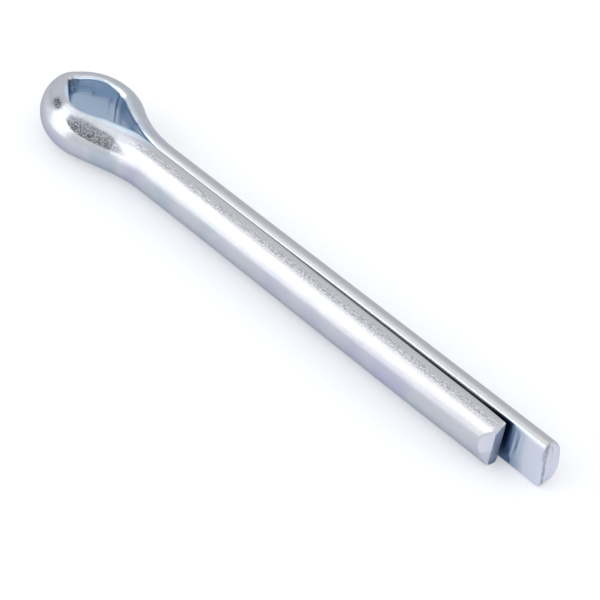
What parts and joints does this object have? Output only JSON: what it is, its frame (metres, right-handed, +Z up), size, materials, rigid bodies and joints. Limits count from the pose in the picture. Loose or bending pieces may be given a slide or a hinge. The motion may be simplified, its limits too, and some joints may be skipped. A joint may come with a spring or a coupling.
{
  "type": "cotter pin",
  "caption": "Split cotter pin of half-round steel wire folded back on itself, with a teardrop eye at one end and two close parallel legs, one standing out past the other.",
  "frame": {"origin": "on the shank's axis at the seat under the eye, where the eye's shoulders stop at the mouth of the hole", "axes": "+X along the shank towards the leg tips, +Y towards the long leg, +Z up, square to the plane of the eye as the pin lies flat"},
  "size_m": [0.0537, 0.0083, 0.0044],
  "materials": {
    "zinc_plated_steel": "bright zinc plate with a faint blue passivate, lightly scuffed"
  },
  "bodies": {
    "root": {"split_pin": "zinc_plated_steel"}
  },
  "joints": []
}
